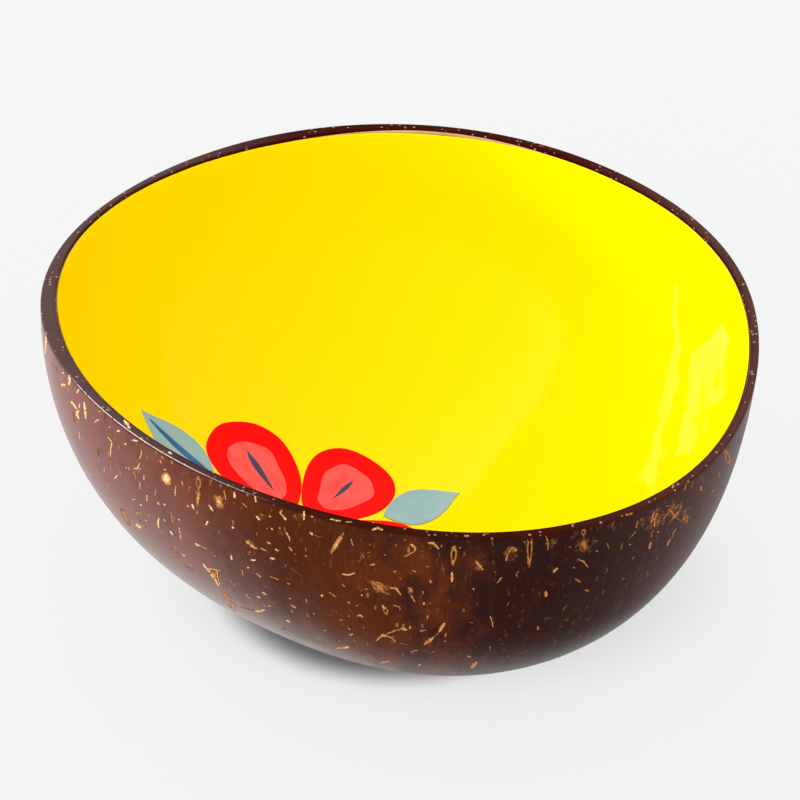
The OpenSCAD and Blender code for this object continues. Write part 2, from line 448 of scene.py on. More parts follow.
def pixels(numbers):
    """Pairs up a row of numbers into pixels."""
    return [Vector(pair) for pair in zip(numbers[::2], numbers[1::2])]


def lay_streak(percent, width, *path):
    """A tapered streak through these pixels."""
    points = pixels(path)
    seed = points[0].x + points[0].y

    def to_shell(along, across):
        share = (along + 1) / 2
        at, way = along_path(points, share)
        ragged = max(0.3, 1 + 1.1 * noise.noise(Vector((share * 7, across * 2, seed))))
        half = width * 0.46 * math.sin(math.pi * (0.08 + 0.84 * share)) ** 0.6 * ragged
        at += Vector((-way.y, way.x)) * across * half
        return behind_pixel(*at)

    lay(streak, percent / 100 - max(0, 2.4 - width) * 0.25, to_shell)


def lay_loop(percent, half_width, *path):
    """A hollow fleck from one pixel to another."""
    start, end = pixels(path)
    middle, reach = (start + end) / 2, (end - start) / 2
    side = Vector((-reach.y, reach.x)).normalized() * half_width

    def to_shell(along, across):
        shake = 1 - 0.3 * along + 0.6 * noise.noise(Vector((along * 2, across * 2, start.x)))
        return behind_pixel(*(middle + reach * along + side * across * shake))

    lay(loop, percent / 100, to_shell)


def lay_chip(percent, *path):
    """A broad fleck inside this outline of pixels."""
    outline = pixels(path)
    middle = sum(outline, Vector((0, 0))) / len(outline)

    def to_shell(along, across):
        share = math.atan2(across, along) / math.tau % 1
        at, _ = along_path(outline + outline[:1], share)
        at = middle + (at - middle) * math.hypot(along, across)
        return behind_pixel(*at)

    lay(chip, percent / 100, to_shell)


# %% [markdown]
# ## The flecks in the photograph
#
# Each row is one fleck: how pale it is, from 0 for deep orange to 100 for cream, its width in
# pixels of the picture, and then x and y of each pixel that it runs through. They were read
# from enlargements. A broad chip has no width, because its pixels go round its outline.

# %% Lay the streaks on the left
LEFT_STREAKS = (
    (80, 2.6, 46, 332, 46, 345, 45, 354), (75, 1.3, 45, 354, 46, 368),
    (50, 1, 52, 365, 56, 368, 57, 373), (90, 2.4, 62, 373, 64, 373),
    (90, 3.6, 69, 375, 70, 380, 69, 385), (85, 4.2, 61, 385, 66, 385), (80, 2.6, 79, 389, 77, 393),
    (85, 3, 71, 401, 74, 405, 77, 409), (80, 2, 80, 403, 79, 408), (85, 3, 79, 410, 76, 416),
    (85, 2.6, 76, 411, 79, 419), (90, 2.8, 84, 402, 85, 410, 86, 419), (70, 2, 99, 411, 101, 412),
    (80, 2.2, 94, 423, 97, 420, 99, 420), (30, 1.6, 105, 415, 105, 423),
    (70, 1.8, 111, 426, 109, 428), (30, 1.5, 73, 412, 75, 423), (60, 1.2, 91, 433, 93, 437),
    (80, 2.2, 79, 432, 80, 439), (90, 2.6, 117, 431, 120, 431),
    (85, 2, 108, 437, 112, 442, 111, 448, 110, 457), (60, 1.5, 115, 438, 116, 440),
    (90, 2.6, 125, 443, 126, 445), (90, 2.2, 132, 440, 138, 441), (45, 1.1, 109, 459, 115, 459),
    (30, 1.6, 101, 446, 102, 453), (30, 1.1, 98, 448, 99, 456), (60, 1.2, 121, 463, 119, 467),
    (70, 2.2, 126, 467, 127, 468), (70, 2, 129, 467, 129, 470),
    (70, 2, 142, 450, 141, 456, 139, 459), (80, 2, 134, 468, 137, 469, 140, 463),
    (70, 1.5, 134, 470, 136, 480), (80, 1.8, 140, 468, 140, 470), (80, 2.2, 118, 475, 114, 479),
    (75, 2, 105, 467, 104, 472), (60, 1, 117, 489, 124, 485), (70, 1.6, 108, 481, 109, 485),
    (70, 1.2, 110, 491, 109, 497), (60, 1.6, 121, 492, 123, 494), (80, 1.8, 144, 475, 144, 480),
    (40, 1.2, 147, 477, 147, 482), (80, 1.8, 140, 482, 140, 489), (70, 1.8, 156, 489, 155, 496),
    (80, 1.8, 147, 495, 147, 501), (70, 1.6, 161, 456, 164, 459), (70, 1.8, 160, 460, 161, 463),
    (65, 2, 172, 461, 172, 464), (60, 1.8, 158, 469, 159, 469), (70, 1.9, 176, 486, 175, 496),
    (80, 1.8, 132, 500, 136, 499), (60, 1.8, 129, 484, 130, 486), (60, 1.6, 99, 459, 99, 462),
    (70, 1.8, 182, 481, 183, 486), (60, 1.8, 189, 487, 191, 487), (80, 2.4, 158, 502, 159, 505),
    (60, 3.2, 163, 504, 166, 505), (80, 2.2, 187, 505, 189, 507), (95, 2.6, 192, 504, 194, 509),
    (60, 1.8, 171, 511, 172, 517, 173, 523), (85, 2.6, 159, 518, 158, 523, 159, 528),
    (80, 2.2, 164, 519, 165, 521), (80, 2.2, 178, 519, 180, 520),
    (70, 2, 179, 527, 180, 533, 181, 541), (60, 1.4, 184, 532, 186, 535),
    (80, 2.2, 170, 531, 173, 535), (50, 1, 165, 524, 170, 527), (85, 2.4, 209, 505, 213, 511),
    (60, 2, 224, 490, 226, 500), (90, 2.8, 234, 492, 235, 498), (90, 2.4, 255, 496, 256, 502),
    (85, 2.6, 208, 521, 206, 525), (90, 2.8, 232, 527, 234, 528), (50, 1.6, 232, 520, 234, 523),
    (90, 2.4, 256, 516, 260, 520), (60, 1.6, 242, 503, 247, 507), (50, 1.4, 210, 482, 210, 486),
    (50, 1.6, 218, 531, 220, 534), (50, 1.2, 206, 532, 211, 536),
    (85, 1.6, 136, 514, 138, 512, 142, 514), (90, 2.4, 140, 505, 142, 505),
    (85, 4, 136, 524, 141, 528), (50, 1.1, 139, 519, 141, 524), (85, 2, 145, 520, 147, 521),
    (90, 2.4, 195, 543, 199, 546), (75, 1.3, 199, 545, 207, 549),
    (60, 1.5, 171, 548, 175, 555, 178, 560), (60, 1.2, 174, 549, 179, 556),
    (85, 2.2, 182, 554, 185, 556), (55, 1.3, 182, 563, 190, 569, 196, 572),
    (65, 1.8, 189, 565, 191, 565), (60, 1.2, 211, 552, 216, 557), (90, 2, 164, 469, 166, 470))
for row in LEFT_STREAKS:
    lay_streak(*row)
print("streaks on the left", len(flecks))

# %% Lay the streaks in the middle
MIDDLE_STREAKS = (
    (90, 2.4, 231, 555, 232, 560), (90, 2.2, 251, 560, 256, 560), (55, 4, 246, 541, 250, 544),
    (60, 3.6, 250, 544, 256, 549), (50, 2.2, 260, 548, 267, 551), (75, 2, 275, 549, 279, 551),
    (75, 2, 267, 542, 271, 544), (60, 2, 249, 552, 251, 552), (80, 2.4, 270, 558, 275, 559),
    (70, 2, 289, 547, 292, 551), (35, 1.8, 294, 553, 296, 555), (70, 2.6, 247, 567, 249, 568),
    (60, 1.8, 242, 570, 243, 576), (75, 1.8, 256, 573, 261, 577), (40, 1.1, 252, 572, 256, 574),
    (65, 1.5, 270, 576, 279, 580), (40, 0.9, 291, 568, 303, 577), (70, 1.8, 287, 583, 290, 584),
    (50, 1.1, 262, 585, 268, 588), (85, 2, 262, 592, 267, 595), (85, 2, 257, 596, 260, 598),
    (65, 1.8, 246, 594, 248, 597, 251, 599), (50, 1, 255, 601, 260, 604),
    (55, 1.1, 240, 607, 248, 609, 256, 611), (85, 2.8, 255, 611, 261, 611, 266, 609),
    (65, 2.2, 268, 606, 271, 606), (45, 0.9, 271, 605, 279, 601), (65, 1.8, 289, 598, 291, 599),
    (80, 1.8, 291, 605, 296, 608), (80, 2.4, 286, 620, 290, 622),
    (55, 1.3, 280, 630, 284, 628, 286, 631), (50, 2, 223, 583, 225, 584),
    (50, 1.6, 237, 583, 240, 584), (45, 2.6, 305, 556, 307, 556), (55, 1.8, 313, 613, 315, 614),
    (60, 2.4, 282, 510, 280, 513, 284, 517), (80, 3.2, 284, 517, 286, 520),
    (85, 2.8, 304, 511, 304, 520), (60, 2.2, 269, 516, 271, 517), (45, 1.8, 293, 517, 296, 514),
    (60, 2.2, 311, 516, 313, 517), (85, 2.2, 330, 519, 339, 521), (60, 1.8, 346, 522, 352, 522),
    (60, 2.2, 271, 528, 273, 530), (60, 2.2, 279, 528, 281, 528), (40, 1.6, 266, 528, 268, 529),
    (70, 2.2, 286, 532, 289, 537, 290, 541), (75, 2.4, 310, 532, 313, 535),
    (45, 1.3, 315, 535, 319, 537, 323, 536), (65, 1.6, 351, 539, 353, 546),
    (45, 1.8, 369, 544, 371, 545), (55, 1.3, 364, 552, 361, 556, 361, 561),
    (50, 1.2, 357, 561, 361, 561), (50, 1.2, 367, 553, 371, 552), (75, 2.2, 370, 565, 375, 564),
    (85, 2.2, 342, 574, 348, 575, 355, 573), (45, 1.8, 342, 584, 345, 587),
    (70, 1.5, 329, 592, 336, 597), (80, 2.8, 321, 595, 323, 596), (50, 1.8, 361, 590, 362, 590),
    (50, 1.6, 364, 589, 368, 589), (70, 2.2, 361, 595, 363, 595),
    (85, 3, 372, 530, 377, 528, 383, 530), (75, 2.2, 348, 602, 350, 603),
    (30, 2.2, 356, 606, 358, 605), (65, 1.8, 340, 620, 343, 620), (50, 1.8, 348, 616, 350, 616),
    (85, 2.2, 357, 616, 360, 615, 363, 617), (70, 1.8, 349, 628, 350, 630),
    (75, 2, 349, 635, 353, 634), (50, 1.2, 353, 639, 356, 642), (85, 2, 336, 648, 344, 648),
    (90, 2.8, 342, 648, 349, 647), (60, 1.8, 324, 630, 326, 631),
    (80, 2, 380, 663, 385, 662, 391, 661), (65, 2.4, 418, 665, 421, 665),
    (70, 2, 376, 641, 380, 637, 384, 635), (85, 2.8, 381, 635, 387, 636),
    (70, 1.7, 387, 636, 392, 638, 397, 643), (28, 2.6, 386, 634, 394, 631, 402, 629),
    (85, 3, 401, 628, 407, 630), (75, 2.2, 410, 626, 410, 629), (50, 1, 400, 643, 408, 645),
    (80, 2.6, 382, 605, 385, 609), (70, 1.5, 393, 605, 400, 607), (60, 1.6, 400, 607, 400, 610),
    (75, 2, 411, 595, 415, 602), (20, 3, 410, 652, 418, 650),
    (60, 2.6, 390, 588, 396, 588, 401, 595), (45, 1.8, 404, 540, 406, 540))
for row in MIDDLE_STREAKS:
    lay_streak(*row)
print("streaks so far", len(flecks))

# %% Lay the streaks on the right
RIGHT_STREAKS = (
    (35, 2.2, 395, 544, 397, 546), (45, 2, 384, 555, 386, 555),
    (70, 3, 410, 544, 415, 547, 415, 551), (60, 2, 415, 551, 408, 555, 402, 557),
    (75, 3.2, 428, 543, 433, 543, 439, 549), (65, 2, 428, 535, 430, 535),
    (60, 1.8, 441, 547, 442, 545), (70, 2.2, 464, 536, 469, 536), (85, 3.2, 452, 572, 452, 582),
    (45, 2.2, 459, 547, 461, 548), (65, 3.2, 476, 561, 479, 565, 483, 570),
    (65, 1.8, 412, 570, 416, 572), (55, 2.4, 394, 572, 396, 571), (50, 2, 400, 578, 401, 579),
    (28, 2.4, 426, 566, 429, 567), (45, 1.8, 443, 568, 444, 570), (65, 3, 430, 580, 431, 583),
    (55, 2, 423, 591, 423, 594), (60, 2.4, 473, 588, 474, 590), (60, 3, 424, 602, 424, 605),
    (30, 1.4, 426, 603, 433, 603), (70, 1.8, 428, 615, 427, 619),
    (80, 3.8, 445, 623, 442, 627, 439, 632), (50, 1.4, 439, 632, 433, 638),
    (85, 3.4, 434, 637, 429, 641, 423, 645), (75, 1.8, 420, 631, 426, 630),
    (70, 2, 446, 633, 445, 637), (50, 2, 444, 641, 446, 641), (60, 2, 490, 616, 492, 621, 493, 627),
    (70, 1.9, 467, 656, 471, 657), (40, 1.2, 469, 622, 473, 623),
    (75, 4.2, 477, 662, 474, 665, 471, 668), (50, 2.6, 538, 626, 538, 630),
    (40, 1.5, 431, 653, 435, 651), (45, 1.8, 490, 646, 490, 649), (45, 1.3, 509, 602, 507, 606),
    (45, 1.3, 509, 592, 509, 595), (65, 2, 502, 577, 497, 583), (60, 2.6, 507, 555, 506, 561),
    (50, 2, 507, 556, 510, 550, 513, 548), (55, 4.2, 510, 549, 514, 548, 517, 552),
    (50, 2.2, 546, 536, 548, 542, 548, 550), (50, 1.8, 524, 541, 525, 543),
    (45, 1.2, 492, 540, 493, 546), (50, 1.5, 519, 571, 516, 574, 518, 578),
    (65, 3.8, 553, 572, 558, 568), (70, 3.4, 546, 591, 546, 597), (60, 2.4, 572, 524, 573, 527),
    (55, 2.2, 578, 559, 584, 562, 588, 567), (60, 2.2, 575, 579, 581, 582),
    (60, 2.2, 585, 590, 589, 591), (35, 2, 573, 567, 575, 568), (50, 1.2, 567, 605, 562, 611),
    (40, 1.8, 494, 571, 496, 573), (30, 1.6, 483, 534, 489, 534), (40, 1.8, 569, 546, 571, 548),
    (45, 1.9, 614, 521, 611, 527), (55, 2.4, 621, 516, 623, 516), (70, 2, 628, 515, 633, 513),
    (55, 2.2, 638, 521, 636, 528), (50, 1.7, 636, 531, 631, 537), (70, 2.2, 654, 512, 651, 523),
    (45, 3, 657, 513, 654, 521, 655, 529), (55, 1.6, 659, 519, 656, 529),
    (60, 2.2, 657, 532, 659, 532), (50, 2.2, 652, 535, 651, 537), (60, 3.2, 651, 542, 649, 549),
    (50, 1.4, 665, 506, 672, 506), (50, 2.8, 669, 509, 674, 515), (45, 2, 679, 504, 675, 509),
    (55, 3, 679, 511, 672, 519), (40, 2.4, 668, 513, 663, 519), (60, 1.5, 675, 517, 681, 521),
    (60, 1.6, 681, 504, 681, 509), (45, 2, 676, 528, 673, 534, 671, 540),
    (70, 2.2, 670, 539, 667, 546), (50, 1.6, 607, 543, 609, 549), (40, 1.6, 622, 543, 621, 550),
    (60, 2, 629, 545, 631, 544), (55, 1.6, 634, 556, 632, 560), (50, 2, 596, 551, 598, 551),
    (45, 1.3, 608, 568, 605, 574), (45, 1.1, 648, 570, 646, 577), (60, 1.3, 622, 579, 625, 578),
    (50, 1.3, 723, 448, 727, 456), (60, 1.4, 732, 460, 732, 467), (60, 2, 706, 465, 707, 467),
    (60, 1.6, 719, 471, 719, 477), (80, 2.4, 674, 485, 672, 488), (45, 1.5, 693, 480, 691, 489),
    (35, 2.2, 687, 482, 684, 491), (50, 1.2, 700, 476, 700, 480), (50, 2.8, 701, 486, 701, 491),
    (60, 2, 685, 513, 683, 520), (60, 1.8, 688, 518, 686, 523), (25, 2.2, 713, 489, 711, 495))
for row in RIGHT_STREAKS:
    lay_streak(*row)
print("streaks so far", len(flecks))

# %% Lay the hollow loops, the broad chips and the marks on the rim
LOOPS = (
    (75, 3.2, 454, 545, 453, 566), (60, 2.9, 530, 533, 529, 568), (70, 3, 725, 450, 730, 466),
    (70, 2.6, 223, 593, 231, 602), (70, 2.6, 230, 602, 236, 611), (65, 2.8, 198, 476, 199, 491),
    (60, 2.3, 584, 529, 583, 536), (60, 2.4, 121, 508, 130, 526), (75, 2.6, 384, 606, 387, 615),
    (60, 2.6, 684, 514, 687, 522))
for row in LOOPS:
    lay_loop(*row)
CHIPS = (
    (62, 198, 488, 201, 492, 199, 501, 198, 508, 197, 508, 196, 500),
    (40, 197, 506, 198, 508, 198, 516, 197, 519, 196, 516),
    (95, 161, 479, 162, 474, 165, 472, 168, 473, 171, 478, 171, 485, 166, 485),
    (62, 215, 494, 221, 495, 223, 500, 224, 508, 220, 510, 216, 506, 214, 499),
    (72, 344, 532, 342, 540, 336, 549, 331, 555, 330, 553, 334, 543, 339, 536),
    (42, 370, 580, 380, 583, 388, 589, 386, 593, 378, 592, 373, 588),
    (50, 407, 587, 412, 587, 414, 592, 409, 594),
    (42, 581, 539, 587, 539, 588, 547, 585, 552, 581, 550),
    (35, 207, 568, 219, 571, 219, 584, 212, 577))
for row in CHIPS:
    lay_chip(*row)
MARKS = (
    (90, 2.6, 203, 564, 209, 571, 214, 578, 219, 586), (75, 2, 207, 568, 220, 571),
    (70, 2.2, 217, 571, 218, 578, 220, 585), (65, 1.6, 371, 581, 380, 583, 388, 590),
    (62, 1.6, 371, 581, 374, 588, 386, 593), (95, 3.8, 124, 420, 127, 424, 131, 430),
    (90, 2.4, 168, 452, 172, 454), (80, 1.8, 63, 346, 63, 348), (60, 1.2, 57, 340, 59, 340),
    (60, 1.6, 110, 409, 110, 411), (75, 1.6, 85, 394, 88, 396), (50, 1.2, 83, 381, 85, 383),
    (50, 1.2, 87, 391, 88, 392), (60, 1.6, 207, 476, 209, 476))
for row in MARKS:
    lay_streak(*row)
print("flecks in view", len(flecks))

# %% [markdown]
# ## Flecks all round
#
# The photograph shows under half of the shell. The rest gets flecks of the same kinds, drawn
# by lot: most run down the side, and they crowd together under the rim. A spot that the
# camera sees is left alone, because its flecks are laid already.

# %% Scatter flecks where the photograph doesn't look
def spot_by_lot(highest, crowding):
    """Place and normal of a spot of the shell below this height, or None if the camera sees it."""
    turn = random.uniform(0, math.tau)
    height = highest * random.random() ** crowding
    out = Vector((math.cos(turn), math.sin(turn), 0))
    place, normal, _, _ = shell_surface.ray_cast(out * 0.2 + Vector((0, 0, height)), -out)
    if place is None or place.z < 1.5 * MM or normal.dot(toward_camera) > 0.12:
        return None
    return place, normal


def scatter(count):
    """Lays this many flecks on the unseen part of the shell."""
    laid = 0
    while laid < count:
        spot = spot_by_lot(55.5 * MM, 0.55)
        if not spot:
            continue
        place, normal = spot
        down = (Vector((0, 0, -1)) + normal * normal.z).normalized()
        lean = random.gauss(0, 0.45)
        way = (down * math.cos(lean) + normal.cross(down) * math.sin(lean)).normalized()
        side = normal.cross(way)
        long = random.choice((0.35, 0.5, 0.7, 0.9, 1.4, 2.2)) * random.uniform(0.7, 1.3) * MM
        wide = random.uniform(0.12, 0.26) * MM * (1 + long / (3 * MM))
        bend = random.uniform(-0.35, 0.35)

        def to_shell(along, across):
            taper = math.cos(along * 1.35) ** 0.6 if pattern is streak else 1
            shift = way * along * long + side * (across * wide * taper + bend * long * along ** 2)
            return shell_surface.find_nearest(place + shift)[:2]

        pattern = random.choices((streak, loop, chip), (8, 1.2, 1.2))[0]
        lay(pattern, random.uniform(0.3, 0.95), to_shell)
        laid += 1


random.seed(11)
scatter(360)
print("flecks all round", len(flecks))

# %% [markdown]
# ## One piece of fibre
#
# All flecks become one piece, and Solidify sinks an underside into the shell. A fleck that folds
# over the rim's corner could grow upwards there instead, past the bowl's height. What stands
# above the top is mirrored to below it, and then all faces are turned outwards again.

# %% Join the flecks and give them an underside
fibres = join(flecks, "husk_fibre_flecks")
for pattern in (streak, loop, chip):
    bpy.data.objects.remove(pattern)
thicken(fibres, FLECK_DEPTH)
for vertex in fibres.data.vertices:
    if vertex.co.z > top:
        vertex.co.z = 2 * top - vertex.co.z
face_outwards(fibres)
bpy.ops.object.shade_smooth_by_angle(angle=math.radians(40))
print(fibres.name, len(fibres.data.polygons), "faces")

# %% [markdown]
# ## Words for shader maths
#
# A finish is a sum of simple patterns. Written node by node, the sum can't be read, so a small
# class wraps a socket, and plain Python sums and products then add the Math nodes. One method
# adds any other node from its type, its settings and its inputs.

# %% Write shader maths as Python
class Pattern:
    """What comes out of a node's socket, ready for sums and products."""

    def __init__(self, finish, socket):
        self.finish, self.socket = finish, socket

    def math(self, operation, *others):
        return self.finish.node("Math", {"operation": operation}, dict(enumerate((self, *others))))

    def __add__(self, other):
        return self.math('ADD', other)

    def __sub__(self, other):
        return self.math('SUBTRACT', other)

    def __rsub__(self, other):
        return self.finish.node("Math", {"operation": 'SUBTRACT'}, {0: other, 1: self})

    def __mul__(self, other):
        return self.math('MULTIPLY', other)

    def __truediv__(self, other):
        return self.math('DIVIDE', other)

    def __pow__(self, other):
        return self.math('POWER', other)

    __radd__, __rmul__ = __add__, __mul__

    def size(self):
        """The number without its sign."""
        return self.math('ABSOLUTE')

    def ramp(self, low, high):
        """0 below low, 1 above high and a soft step between."""
        return self.finish.node("MapRange", {"interpolation_type": 'SMOOTHSTEP'}, {
            "Value": self, "From Min": low, "From Max": high})


class Finish:
    """A material with its shader, and the one way to add a node to it."""

    def __init__(self, name, **constants):
        self.material = bpy.data.materials.new(name)
        self.material.use_nodes = True
        self.tree = self.material.node_tree
        self.shader = self.tree.nodes["Principled BSDF"]
        for socket, value in constants.items():
            self.set(socket.replace("_", " "), value)

    def node(self, kind, settings=None, inputs=None, output=0):
        """Adds a node: its settings first, then the values or links of its sockets."""
        node = self.tree.nodes.new("ShaderNode" + kind)
        for setting, value in (settings or {}).items():
            setattr(node, setting, value)
        for socket, value in (inputs or {}).items():
            self.join(node.inputs[socket], value)
        return Pattern(self, node.outputs[output])

    def join(self, socket, value):
        """Links a pattern to a socket, or sets the socket to a value."""
        if isinstance(value, Pattern):
            self.tree.links.new(value.socket, socket)
        else:
            socket.default_value = value

    def set(self, socket, value):
        self.join(self.shader.inputs[socket], value)

    def mix(self, share, first, second):
        """A colour that goes from the first to the second as share goes from 0 to 1."""
        return self.node("Mix", {"data_type": 'RGBA'}, {0: share, 6: first, 7: second}, output=2)

    def place(self):
        """The point's own place on the bowl, in metres."""
        return self.node("TexCoord", output="Object")

    def attribute(self, name):
        """The number that the mesh keeps under this name."""
        return self.node("Attribute", {"attribute_name": name}, output=2)

    def parts(self, vector):
        """The x, y and z of a vector pattern."""
        split = self.node("SeparateXYZ", inputs={"Vector": vector})
        return split, *(Pattern(self, split.socket.node.outputs[i]) for i in (1, 2))

    def vector(self, x, y, z):
        return self.node("CombineXYZ", inputs={"X": x, "Y": y, "Z": z})

    def clouds(self, vector, scale, detail=2.0, roughness=0.5):
        """Soft noise from 0 to 1."""
        return self.node("TexNoise", inputs={
            "Vector": vector, "Scale": scale, "Detail": detail, "Roughness": roughness})

    def bump(self, height, distance, strength=1.0, normal=None):
        """Raises the surface by height, which is in units of distance."""
        inputs = {"Height": height, "Distance": distance, "Strength": strength}
        if normal:
            inputs["Normal"] = normal
        return self.node("Bump", inputs=inputs)


# %% [markdown]
# ## Polished coconut shell
#
# Sanding and oil leave the shell dark: chocolate, with redder patches and fine lines that run
# from the rim to the round end. Ends of pale fibres lie in it by the hundred, with frayed golden
# patches where the sander reached the layer under the husk. The left side is painted lighter and
# redder and the right side darker, partly the shell's own tone and partly painted light and
# shade, and a pale line on the rim's outer corner at the left is a painted highlight. All
# patterns use two numbers for a place: the way round the bowl and the way down the side. The
# way round is kept as a direction, which has no seam.

# %% Measure a place on the shell
WIDEST = 53.6 * MM


def way_round_and_down(finish):
    """The direction round the bowl as two numbers, the way down, and x and z in millimetres."""
    x, y, z = finish.parts(finish.place())
    reach = (x * x + y * y) ** 0.5
    below = WIDEST - z
    down = below.math('ARCTAN2', reach)
    return x / reach, y / reach, down, x / MM, z / MM


def specks(finish, where, spacing, radius, chance):
    """Tiny pores and fibre ends: 1 inside a speck, and a number of its own for each."""
    cells = finish.node("TexVoronoi", inputs={"Vector": where, "Scale": 1 / spacing})
    luck, size, tone = finish.parts(Pattern(finish, cells.socket.node.outputs["Color"]))
    inside = (size * radius / spacing - cells).ramp(0, 0.08)
    return inside * luck.ramp(1 - chance, 1.01 - chance), tone


# %% Finish for the shell
def shell_finish():
    finish = Finish("polished_shell_brown", Coat_Roughness=0.25, Specular_IOR_Level=0.0)
    round_x, round_y, down, x, z = way_round_and_down(finish)
    # Pale scratches, stronger at the far left and right: partly real scratches and partly a painted
    # sheen where the sides catch the light.
    scratch_wear_and_painted_sheen = 0.04 + 0.26 * x.ramp(38, 60) + 0.16 * (1 - x.ramp(-60, -44))
    broad = finish.clouds(finish.vector(round_x, round_y, down), 2.2, 3.0).ramp(0.35, 0.68)
    lines = finish.clouds(finish.vector(round_x * 70, round_y * 70, down * 3), 1.0, 3.0, 0.6)
    scratches = finish.clouds(finish.vector(round_x * 220, round_y * 220, down * 5), 1.0, 2.0)
    mottle = finish.clouds(finish.vector(round_x * 12, round_y * 12, down * 8), 1.0, 4.0, 0.6)
    brown = finish.mix(broad, (0.066, 0.014, 0.004, 1), (0.116, 0.022, 0.0054, 1))
    # Painted light and shade, partly the shell's own tone: the left side is painted a lighter,
    # redder brown and the right side darker, the far right edge is redder again, and the specks
    # fade on the darker side.
    left_tone_and_painted_light = 1 - (x + (mottle - 0.5) * 20).ramp(-60, -22)
    right_tone_and_painted_shade = (x + (mottle - 0.5) * 60).ramp(-6, 18)
    fibres_below = finish.clouds(finish.vector(round_x * 95, round_y * 95, down * 38), 1.0, 3.0)
    dashes = finish.vector(round_x * 65 * MM, round_y * 65 * MM, down * 24 * MM)
    speck, speck_tone = specks(finish, dashes, 1.1 * MM, 0.3 * MM, 0.6)
    tan = finish.mix(speck_tone, (0.15, 0.04, 0.014, 1), (0.36, 0.17, 0.07, 1))
    patch = finish.attribute("fibre_patch")
    frayed = finish.clouds(finish.place(), 1 / (0.9 * MM), 3.0, 0.65)
    golden = finish.mix(frayed.ramp(0.45, 0.7), (0.13, 0.036, 0.008, 1), (0.36, 0.15, 0.036, 1))
    for share, colour in (
            (left_tone_and_painted_light, (0.165, 0.024, 0.007, 1)),
            (right_tone_and_painted_shade * 0.9, (0.018, 0.0062, 0.005, 1)),
            (x.ramp(34, 58) * 0.8, (0.06, 0.0115, 0.008, 1)),
            (mottle.ramp(0.45, 0.8) * 0.4, (0.026, 0.007, 0.005, 1)),
            (lines.ramp(0.55, 0.8) * 0.16, (0.12, 0.038, 0.02, 1)),
            (scratches.ramp(0.62, 0.75) * scratch_wear_and_painted_sheen, (0.16, 0.08, 0.062, 1)),
            (fibres_below.ramp(0.62, 0.7) * 0.42, (0.19, 0.062, 0.024, 1)),
            (fibres_below.ramp(0.38, 0.3) * 0.5, (0.01, 0.0042, 0.0036, 1)),
            (speck * (0.8 - right_tone_and_painted_shade * 0.6), tan),
            ((patch * 0.5 + frayed - 0.5).ramp(0.2, 0.38) * 0.55, golden)):
        brown = finish.mix(share, brown, colour)
    from_coat = finish.attribute("from_coat")
    inner = 1 - from_coat.ramp(0.7, 1.2)
    on_top = z.ramp(56.1, 56.8).math('MAXIMUM', z.ramp(55.6, 55.9) * inner)
    face = finish.mix(x.ramp(-50, -15), (0.052, 0.012, 0.008, 1), (0.038, 0.0062, 0.002, 1))
    face = finish.mix(x.ramp(20, 58), face, (0.06, 0.013, 0.0045, 1))
    face = finish.mix(mottle.ramp(0.45, 0.7) * 0.6, face, (0.022, 0.0044, 0.002, 1))
    face = finish.mix(from_coat.ramp(0.7, 1.2), (0.04, 0.002, 0.0006, 1), face)
    dot, _ = specks(finish, finish.place(), 0.85 * MM, 0.3 * MM, 0.65)
    face = finish.mix(dot * 0.7, face, (0.46, 0.28, 0.19, 1))
    brown = finish.mix(on_top, brown, face)
    _, _, up = finish.parts(finish.node("NewGeometry", output="Normal"))
    edge = up.ramp(0.42, 0.54) * (1 - up.ramp(0.7, 0.82)) * from_coat.ramp(1.5, 1.8)
    # A pale line painted on the rim's outer corner at the left: a painted highlight.
    painted_edge_highlight = edge * x.ramp(-57.5, -54) * (1 - (x + mottle * 14).ramp(-34, -12))
    brown = finish.mix(painted_edge_highlight * scratches.ramp(0.3, 0.45), brown, (0.72, 0.58, 0.6, 1))
    finish.set("Base Color", brown)
    finish.set("Roughness", 0.42 + 0.12 * mottle - 0.22 * on_top)
    to_left = 1 - (x + (z - 42) * 0.7 + (mottle - 0.5) * 16).ramp(-44, -12)
    to_right = (x + (scratches - 0.5) * 8).ramp(22, 60)
    low = (1 - z.ramp(18, 36)) * (0.12 + 0.32 * x.ramp(-34, 4))
    wet = 0.06 + 0.94 * to_left + 0.42 * to_right + low
    dull = 0.02 + 0.5 * (1 - x.ramp(-54, -12)) + 0.28 * x.ramp(28, 60)
    finish.set("Coat Weight", wet + on_top * (dull - wet))
    height = lines * 0.6 + mottle * 0.4 + scratches * 0.3 - speck * 0.3
    finish.set("Normal", finish.bump(height, 0.03 * MM, 0.6))
    return finish.material


# %% Finish for the cut fibres
def fibre_finish():
    """Cut fibre: a cream or golden core with a ragged fringe of deep orange-brown."""
    finish = Finish("cut_husk_fibre", Roughness=0.42, Specular_IOR_Level=0.06)
    tone = finish.attribute("tone")
    core = finish.attribute("core")
    grain = finish.clouds(finish.place(), 1 / (0.35 * MM), 3.0, 0.6)
    pale = tone * 0.85 + core * 0.7 + (grain - 0.5) * 1.9 - 0.42
    x, _, _ = finish.parts(finish.place())
    # The cores are painted cream on the left and golden on the right: partly the fibres' own tone
    # and partly painted light from the left.
    cream = finish.mix((x / MM).ramp(-45, 25), (0.86, 0.64, 0.38, 1), (0.56, 0.29, 0.085, 1))
    colour = finish.mix(pale.ramp(0.0, 0.45), (0.085, 0.024, 0.008, 1), (0.42, 0.15, 0.03, 1))
    colour = finish.mix(pale.ramp(0.45, 1.0), colour, cream)
    finish.set("Base Color", colour)
    finish.set("Normal", finish.bump(grain, 0.02 * MM))
    return finish.material


# %% Mark the rim and the frayed patches, and give the finishes
from_coat = shell.data.attributes.new("from_coat", 'FLOAT', 'POINT')
for vertex in shell.data.vertices:
    if vertex.co.z > 55 * MM:
        from_coat.data[vertex.index].value = lacquer_surface.find_nearest(vertex.co)[3] / MM

